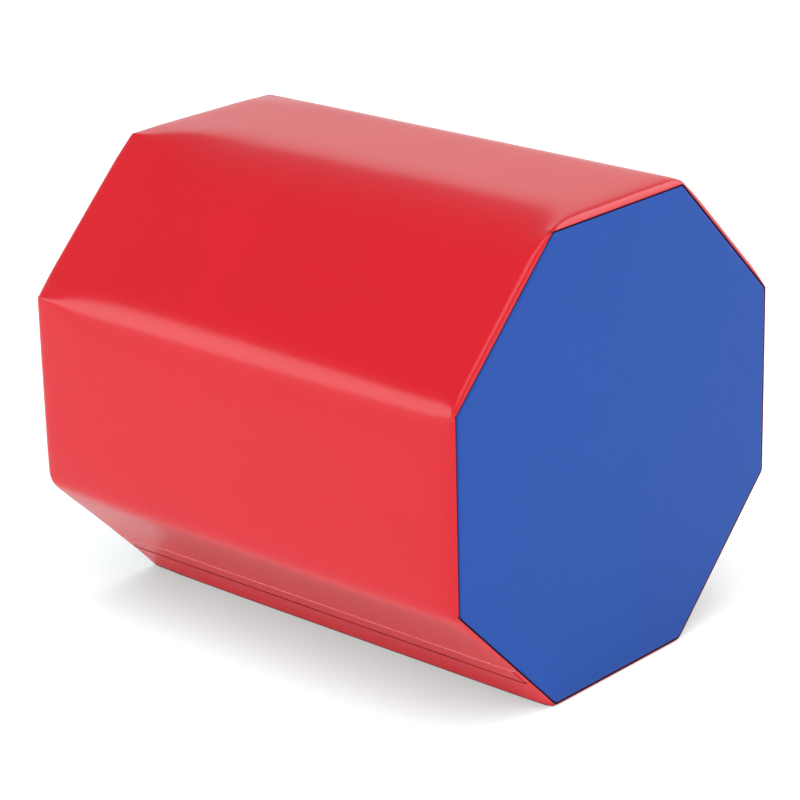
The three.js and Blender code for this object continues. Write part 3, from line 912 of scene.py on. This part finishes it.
class Finish:
    """A node material with one Principled shader, built up step by step."""

    def __init__(self, name, colour, roughness, metallic=0.0, specular=0.5):
        self.material = bpy.data.materials.new(name)
        self.material.use_nodes = True
        self.tree = self.material.node_tree
        self.shader = self.tree.nodes["Principled BSDF"]
        self.shader.inputs["Base Color"].default_value = (*colour, 1)
        self.shader.inputs["Roughness"].default_value = roughness
        self.shader.inputs["Metallic"].default_value = metallic
        self.shader.inputs["Specular IOR Level"].default_value = specular
        self.colour = colour
        self.place = self.node("ShaderNodeTexCoord").outputs["Object"]
        self.bump = None

    def node(self, kind, **values):
        made = self.tree.nodes.new(kind)
        for key, value in values.items():
            setattr(made, key, value)
        return made

    def link(self, source, target):
        self.tree.links.new(source, target)

    def math(self, operation, *values):
        made = self.node("ShaderNodeMath", operation=operation)
        for socket, value in zip(made.inputs, values):
            if isinstance(value, float):
                socket.default_value = value
            else:
                self.link(value, socket)
        return made.outputs[0]

    def noise(self, scale, detail, stretch=None):
        made = self.node("ShaderNodeTexNoise")
        made.inputs["Scale"].default_value = scale
        made.inputs["Detail"].default_value = detail
        if stretch:
            mapping = self.node("ShaderNodeMapping")
            mapping.inputs["Scale"].default_value = stretch
            self.link(self.place, mapping.inputs["Vector"])
            self.link(mapping.outputs[0], made.inputs["Vector"])
        else:
            self.link(self.place, made.inputs["Vector"])
        return made.outputs["Fac"]

    def cells(self, scale):
        made = self.node("ShaderNodeTexVoronoi", feature="SMOOTH_F1")
        made.inputs["Scale"].default_value = scale
        made.inputs["Smoothness"].default_value = 0.6
        self.link(self.place, made.inputs["Vector"])
        return made.outputs["Distance"]

    def attribute(self, name):
        return self.node("ShaderNodeAttribute", attribute_name=name).outputs["Fac"]

    def y(self):
        """The place along the mat."""
        separate = self.node("ShaderNodeSeparateXYZ")
        self.link(self.place, separate.inputs[0])
        return separate.outputs["Y"]

    def wave(self, source, pitch):
        """A sine of a length, from -1 to 1, once in every pitch."""
        return self.math("SINE", self.math("MULTIPLY", source, 2 * math.pi / pitch))

    def remap(self, value, low, high, to_low, to_high):
        made = self.node("ShaderNodeMapRange")
        for socket, number in zip(list(made.inputs)[1:5], (low, high, to_low, to_high)):
            socket.default_value = number
        self.link(value, made.inputs[0])
        return made.outputs[0]

    def add_bump(self, height, distance):
        """distance is how far, in metres, the surface moves as height goes from 0 to 1."""
        made = self.node("ShaderNodeBump")
        made.inputs["Strength"].default_value = 1.0
        made.inputs["Distance"].default_value = distance
        self.link(height, made.inputs["Height"])
        if self.bump:
            self.link(self.bump, made.inputs["Normal"])
        self.bump = made.outputs["Normal"]
        self.link(self.bump, self.shader.inputs["Normal"])

    def vary_colour(self, factor, other):
        """Mixes the colour towards another by factor, on top of what was mixed before."""
        made = self.node("ShaderNodeMix", data_type="RGBA")
        sockets = {s.identifier: s for s in made.inputs}
        before = self.shader.inputs["Base Color"]
        if before.is_linked:
            self.link(before.links[0].from_socket, sockets["A_Color"])
        else:
            sockets["A_Color"].default_value = (*self.colour, 1)
        sockets["B_Color"].default_value = (*other, 1)
        self.link(factor, sockets["Factor_Float"])
        result = {s.identifier: s for s in made.outputs}["Result_Color"]
        self.link(result, before)

    def vary_roughness(self, value):
        self.link(value, self.shader.inputs["Roughness"])


def shade(colour, amount):
    """The colour made lighter (above 1) or darker (below 1)."""
    return tuple(min(1.0, c * amount) for c in colour)


# Painted shade: dark maroon for the vinyl down in the end seams' grooves, standing in for their shadow.
SEAM_PAINTED_SHADE = (0.17, 0.004, 0.022)


def vinyl(name, colour, roughness, specular=0.5):
    """Coated fabric: a fine calendered grain over a faint weave, with small changes of colour."""
    f = Finish(name, colour, roughness, specular=specular)
    f.vary_colour(f.remap(f.noise(7, 3), 0.35, 0.75, 0, 0.55), shade(colour, 0.93))
    f.vary_colour(f.remap(f.noise(60, 2), 0.5, 0.8, 0, 0.35), shade(colour, 1.05))
    # Painted shade in the end seams' grooves.
    f.vary_colour(f.attribute("seam_painted_shade"), SEAM_PAINTED_SHADE)
    f.add_bump(f.noise(26, 2), 0.012 * MM)
    f.add_bump(f.cells(1250), 0.003 * MM)
    f.add_bump(f.noise(2600, 1), 0.002 * MM)
    pucker = f.math("MULTIPLY", f.attribute("seam_near"), f.wave(f.attribute("around"), SEAM_PITCH))
    f.add_bump(pucker, 0.05 * MM)
    pull = f.math("MULTIPLY", f.attribute("stitch_near"), f.wave(f.y(), TOPSTITCH_PITCH))
    f.add_bump(pull, 0.10 * MM)
    return f.material


def thread(name, colour):
    """Twisted polyester thread."""
    f = Finish(name, colour, 0.5)
    twist = f.noise(900, 1, stretch=(1.0, 0.35, 1.0))
    f.vary_colour(f.remap(twist, 0.35, 0.7, 0, 0.5), shade(colour, 0.72))
    f.add_bump(twist, 0.12 * MM)
    return f.material


def woven(name, colour):
    """A zip's tape: fine twill whose lines zigzag across it."""
    f = Finish(name, colour, 0.85, specular=0.25)
    across = f.attribute("across")
    zigzag = f.math("MULTIPLY", f.math("ABSOLUTE", f.wave(across, 9 * MM)), 4 * MM)
    slant = f.math("ADD", f.y(), zigzag)
    weave = f.math("MULTIPLY", f.wave(slant, 0.9 * MM), f.wave(across, 0.7 * MM))
    f.add_bump(weave, 0.08 * MM)
    f.vary_colour(f.remap(weave, -1, 1, 0, 0.6), shade(colour, 0.6))
    return f.material


def nylon(name, colour):
    f = Finish(name, colour, 0.38)
    f.vary_colour(f.remap(f.noise(300, 2), 0.4, 0.7, 0, 0.4), shade(colour, 0.8))
    f.add_bump(f.noise(1500, 1), 0.02 * MM)
    return f.material


def nickel(name, colour):
    """Die-cast, tumbled and plated: faint dents, and duller where it has rubbed."""
    f = Finish(name, colour, 0.28, metallic=1.0)
    f.vary_roughness(f.remap(f.noise(160, 3), 0.3, 0.7, 0.22, 0.42))
    f.add_bump(f.noise(420, 2), 0.05 * MM)
    f.vary_colour(f.remap(f.noise(220, 2), 0.5, 0.8, 0, 0.6), shade(colour, 0.72))
    return f.material


def foam(name, colour):
    """Closed-cell foam: flattened cells and a faint skin."""
    f = Finish(name, colour, 0.9, specular=0.2)
    cells = f.cells(420)
    f.add_bump(cells, 0.35 * MM)
    f.vary_colour(f.remap(cells, 0.2, 0.7, 0, 0.5), shade(colour, 0.86))
    return f.material


# ---------------------------------------------------------------- stage

FLOOR_REACH = 60
FLOOR_LEVEL = -0.2 * MM
FLOOR_ALBEDO = 0.12
FLOOR_GLOW = (0.350, 0.374, 0.375)  # less red, to make up for the red that the mat throws on the floor
FLOOR_LIGHT = 9.0
FLOOR_LIGHT_SPREAD = 95
FLOOR_LIGHT_FROM = (-0.33, -0.28, 0.9)
WALL_FRONT = 1.38
WALL_BACK = 0.88
WALL_TOP = (0.40, 0.47)  # sines of the angles where the walls end and the ceiling begins
CEILING = 0.35
TO_BACK = (0.74, 0.67, 0.0)
SOFTBOXES = (  # name, direction, distance, width, height, radiance
    ("right_softbox", (0.68, -0.22, 0.70), 3.2, 2.8, 1.6, 2.2),
    ("back_softbox", (-0.68, 0.62, 0.33), 3.4, 2.2, 0.95, 2.0),
    ("top_softbox", (-0.35, -0.30, 0.88), 3.4, 2.2, 2.2, 2.15),
)
CARD_PLACE = (-0.24, 0.0, 0.004)
CARD_SIZE = (0.19, 0.86)
CARD_RADIANCE = 0.45


def receivers(name, obj, state):
    """A collection for a light that reaches only this object (INCLUDE), or everything else (EXCLUDE)."""
    group = bpy.data.collections.new(name)
    group.objects.link(obj)
    group.collection_objects[0].light_linking.link_state = state
    return group


def make_stage():
    square = ((-1, -1), (1, -1), (1, 1), (-1, 1))
    corners = [(x * FLOOR_REACH, y * FLOOR_REACH, FLOOR_LEVEL) for x, y in square]
    floor = new_object("floor", corners, [(0, 1, 2, 3)])
    f = Finish("floor_paint", (FLOOR_ALBEDO,) * 3, 0.9, specular=0.0)
    f.shader.inputs["Emission Color"].default_value = (*FLOOR_GLOW, 1)
    f.shader.inputs["Emission Strength"].default_value = 1.0
    floor.data.materials.append(f.material)
    data = bpy.data.lights.new("floor_light", "SUN")
    data.energy = FLOOR_LIGHT * math.pi
    data.angle = math.radians(FLOOR_LIGHT_SPREAD)
    light = in_scene("floor_light", data)
    light.rotation_euler = Vector(FLOOR_LIGHT_FROM).to_track_quat("Z", "Y").to_euler()
    floor_only = receivers("floor_only", floor, "INCLUDE")
    light.light_linking.receiver_collection = floor_only
    floor.light_linking.receiver_collection = floor_only
    return floor


def make_world():
    """A pale studio: walls that are brighter in front than at the back, and a darker ceiling."""
    world = bpy.data.worlds.new("studio")
    bpy.context.scene.world = world
    world.use_nodes = True
    nodes, links = world.node_tree.nodes, world.node_tree.links
    direction = nodes.new("ShaderNodeTexCoord").outputs["Generated"]

    def ramp(source, low, high, to_low, to_high):
        made = nodes.new("ShaderNodeMapRange")
        made.interpolation_type = "SMOOTHSTEP"
        links.new(source, made.inputs[0])
        for socket, number in zip(list(made.inputs)[1:5], (low, high, to_low, to_high)):
            socket.default_value = number
        return made

    separate = nodes.new("ShaderNodeSeparateXYZ")
    links.new(direction, separate.inputs[0])
    backward = nodes.new("ShaderNodeVectorMath")
    backward.operation = "DOT_PRODUCT"
    backward.inputs[1].default_value = TO_BACK
    links.new(direction, backward.inputs[0])
    wall = ramp(backward.outputs["Value"], -0.4, 0.3, WALL_FRONT, WALL_BACK)
    room = ramp(separate.outputs["Z"], *WALL_TOP, 1.0, CEILING)
    links.new(wall.outputs[0], room.inputs["To Min"])
    nodes["Background"].inputs["Color"].default_value = (1, 1, 1, 1)
    links.new(room.outputs[0], nodes["Background"].inputs["Strength"])


def area_light(name, receiver, width, height, radiance):
    data = bpy.data.lights.new(name, "AREA")
    data.shape = "RECTANGLE"
    data.size, data.size_y = width, height
    data.energy = radiance * math.pi * width * height
    light = in_scene(name, data)
    light.light_linking.receiver_collection = receiver
    light.visible_camera = False
    return light


def make_lights(floor):
    """Softboxes that look at the mat's middle, and a card on the floor under its lower-left face."""
    not_floor = receivers("all_but_floor", floor, "EXCLUDE")
    for name, direction, distance, width, height, radiance in SOFTBOXES:
        light = area_light(name, not_floor, width, height, radiance)
        toward = Vector(direction).normalized()
        light.location = Vector((0, 0, APOTHEM)) + toward * distance
        light.rotation_euler = toward.to_track_quat("Z", "Y").to_euler()
    card = area_light("reflector_card", not_floor, *CARD_SIZE, CARD_RADIANCE)
    card.location = CARD_PLACE
    card.rotation_euler = (math.pi, 0, 0)
    card.visible_glossy = False


def main():
    view = bpy.context.scene.view_settings
    view.view_transform = "Standard"
    view.look = "None"
    red = vinyl("red_vinyl", (0.74, 0.010, 0.022), 0.19, specular=0.4)
    blue = vinyl("blue_vinyl", (0.008, 0.078, 0.42), 0.34, specular=0.22)
    make_wrap(red)
    # The binding's dark red is taken darker still, as painted shade for the gap under the flap's edge.
    make_binding(woven("zip_binding_with_gap_shade", (0.13, 0.002, 0.004)))
    make_flap(red)
    # The seam thread is kept very dark: partly its own maroon, partly painted shade for the groove it lies
    # in.
    seam_thread = thread("seam_thread", (0.05, 0.004, 0.012))
    for name, end in (("front", -1), ("rear", 1)):
        make_end_panel(f"{name}_blue_end", end, blue, f"{name}_end_panel")
        seam_stitches(f"{name}_seam_stitches", end, seam_thread, f"{name}_seam_thread")
    pink = thread("red_thread", (1.0, 0.62, 0.62))
    top = stitch_row("topstitching", TOPSTITCH_U, 0.0, 2.2 * MM, 3.1 * MM, 0.44 * MM, 0.15 * MM,
                     TOPSTITCH_PITCH)
    finish_piece(top, pink, "mat", "flap_topstitch")
    hem = stitch_row("hem_stitching", HEM_STITCH_U, BINDING_HEIGHT - 0.1 * MM, 20 * MM, 3.15 * MM, 0.22 * MM,
                     0.05 * MM, TOPSTITCH_PITCH)
    finish_piece(hem, pink, "mat", "hem_stitch")
    tape = woven("zip_tape", (0.27, 0.007, 0.012))
    make_tape("upper_zip_tape", UPPER_TAPE_PATH, tape, "zip_tape_upper")
    make_tape("lower_zip_tape", LOWER_TAPE_PATH, tape, "zip_tape_lower")
    coil = nylon("zip_coil", (0.38, 0.010, 0.018))
    make_coil("upper_zip_coil", 1, coil, "zip_coil_upper")
    make_coil("lower_zip_coil", -1, coil, "zip_coil_lower")
    metal = nickel("nickel", (0.62, 0.61, 0.58))
    for node in ("zip_slider", "zip_pull", "zip_top_stop_upper", "zip_top_stop_lower", "zip_bottom_stop"):
        bevelled(node, metal, 0.18 * MM)
    foam_look = foam("foam", (0.88, 0.88, 0.85))
    for node in sorted(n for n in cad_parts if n.startswith("foam_plank")):
        make_foam(node, foam_look)
    floor = make_stage()
    make_world()
    make_lights(floor)


main()
